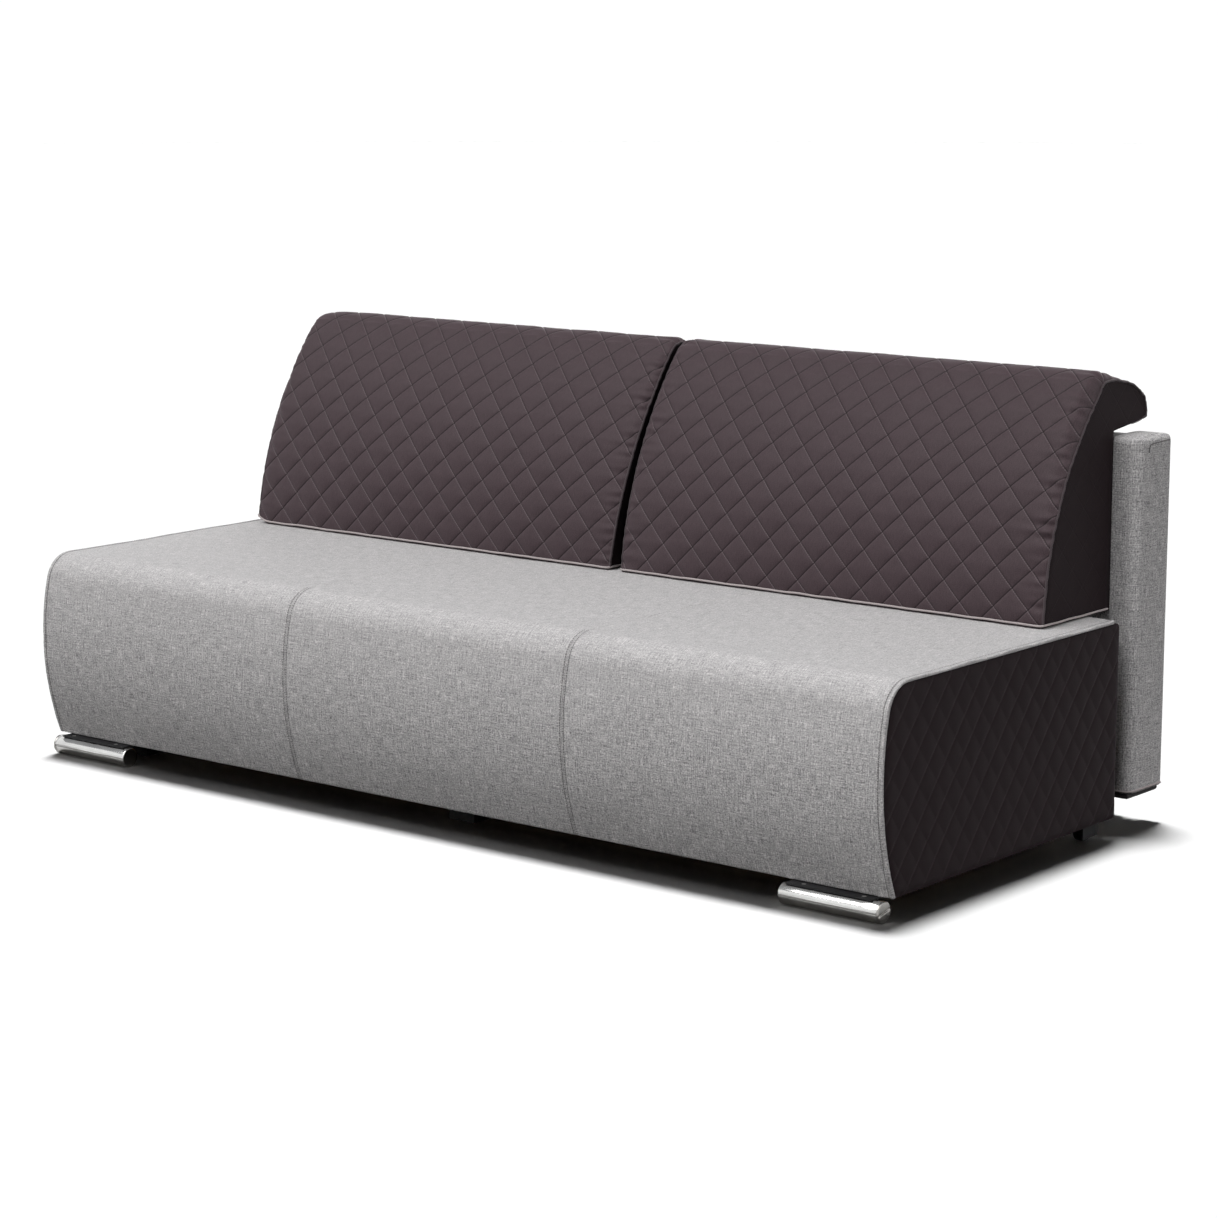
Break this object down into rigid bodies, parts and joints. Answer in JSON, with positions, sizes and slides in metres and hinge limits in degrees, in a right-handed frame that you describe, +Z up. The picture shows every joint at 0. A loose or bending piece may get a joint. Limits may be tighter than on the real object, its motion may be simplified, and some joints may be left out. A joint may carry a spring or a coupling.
{
  "type": "sofa bed",
  "caption": "Armless sofa bed whose seat pulls forward while its back swings down level with it, with loose quilted back cushions and a bedding box inside.",
  "frame": {"origin": "on the floor, below the middle of the outline", "axes": "+X along the sofa to the right end as seen from the front, +Y to the rear, +Z up"},
  "size_m": [2, 0.915, 0.8364],
  "materials": {
    "linen_weave": "matte melange weave",
    "quilted_plum": "smooth quilted fabric with a soft sheen",
    "piping": "matte",
    "leg_chrome": "polished",
    "black_steel": "satin powder coat",
    "bright_steel": "zinc plated",
    "pine": "planed",
    "chipboard": "melamine-free board",
    "felt": "matte non-woven",
    "webbing": "matte",
    "foam": "open foam",
    "nylon": "matte"
  },
  "bodies": {
    "base": {"box_front": "chipboard", "box_rear": "chipboard", "box_side_left": "chipboard", "box_side_right": "chipboard", "box_divider": "chipboard", "box_floor": "pine", "floor_cleats": "pine", "corner_blocks": "pine", "base_feet": "nylon", "felt_strips": "felt", "guide_channel_left": "bright_steel", "guide_channel_right": "bright_steel", "pivot_plate_left": "black_steel", "pivot_plate_right": "black_steel", "pivot_bushes": "nylon"},
    "seat": {"seat_rails": "pine", "seat_slats": "pine", "seat_webbing": "webbing", "seat_foam": "foam", "front_foam": "foam", "seat_lining": "felt", "seat_cover_left": "linen_weave", "seat_cover_middle": "linen_weave", "seat_cover_right": "linen_weave", "front_board": "chipboard", "front_batten": "pine", "end_board_left": "chipboard", "end_board_right": "chipboard", "end_cover_left": "quilted_plum", "end_cover_right": "quilted_plum", "front_leg_left": "leg_chrome", "front_leg_right": "leg_chrome", "leg_plates": "black_steel", "leg_bolts": "bright_steel", "runner_left": "bright_steel", "runner_right": "bright_steel", "castor_bracket_left": "black_steel", "castor_bracket_right": "black_steel"},
    "arms": {"swing_arm_left": "black_steel", "swing_arm_right": "black_steel", "torsion_tube": "black_steel"},
    "back": {"back_rails": "pine", "back_studs": "pine", "back_pad_front": "foam", "back_pad_rear": "foam", "back_cover": "linen_weave", "back_hem": "felt", "back_piping": "piping", "hinge_channel_left": "bright_steel", "hinge_channel_right": "bright_steel", "hinge_pins": "bright_steel"},
    "castor_left": {"castor_wheel_left": "nylon"},
    "castor_right": {"castor_wheel_right": "nylon"},
    "cushion_left": {"cushion_left": "quilted_plum", "cushion_core_left": "foam", "cushion_piping_left": "piping"},
    "cushion_right": {"cushion_right": "quilted_plum", "cushion_core_right": "foam", "cushion_piping_right": "piping"}
  },
  "joints": [
    {"name": "seat_slide", "type": "slide", "parent": "base", "child": "seat", "axis": [0, -1, 0], "range_m": [0, 0.5]},
    {"name": "arm_swing", "type": "hinge", "parent": "base", "child": "arms", "pos_m": [0, 0.08377, 0.055], "axis": [1, 0, 0], "range_deg": [0, 124.9]},
    {"name": "back_turn", "type": "hinge", "parent": "arms", "child": "back", "pos_m": [0, 0.4315, 0.112], "axis": [-1, 0, 0], "range_deg": [0, 214.9]},
    {"name": "castor_left_roll", "type": "hinge", "parent": "seat", "child": "castor_left", "pos_m": [-0.95, 0.2445, 0.0203], "axis": [1, 0, 0], "range_deg": [0, 1414]},
    {"name": "castor_right_roll", "type": "hinge", "parent": "seat", "child": "castor_right", "pos_m": [0.95, 0.2445, 0.0203], "axis": [1, 0, 0], "range_deg": [0, 1414]},
    {"name": "cushion_left_lift", "type": "slide", "parent": "back", "child": "cushion_left", "axis": [0, 0, 1], "range_m": [0, 0.2]},
    {"name": "cushion_right_lift", "type": "slide", "parent": "back", "child": "cushion_right", "axis": [0, 0, 1], "range_m": [0, 0.2]}
  ],
  "couplings": [
    {"joint": "arm_swing", "follows": "seat_slide", "rad_per_m": 4.3564},
    {"joint": "back_turn", "follows": "seat_slide", "rad_per_m": 7.498},
    {"joint": "castor_left_roll", "follows": "seat_slide", "rad_per_m": 49.261},
    {"joint": "castor_right_roll", "follows": "seat_slide", "rad_per_m": 49.261}
  ]
}
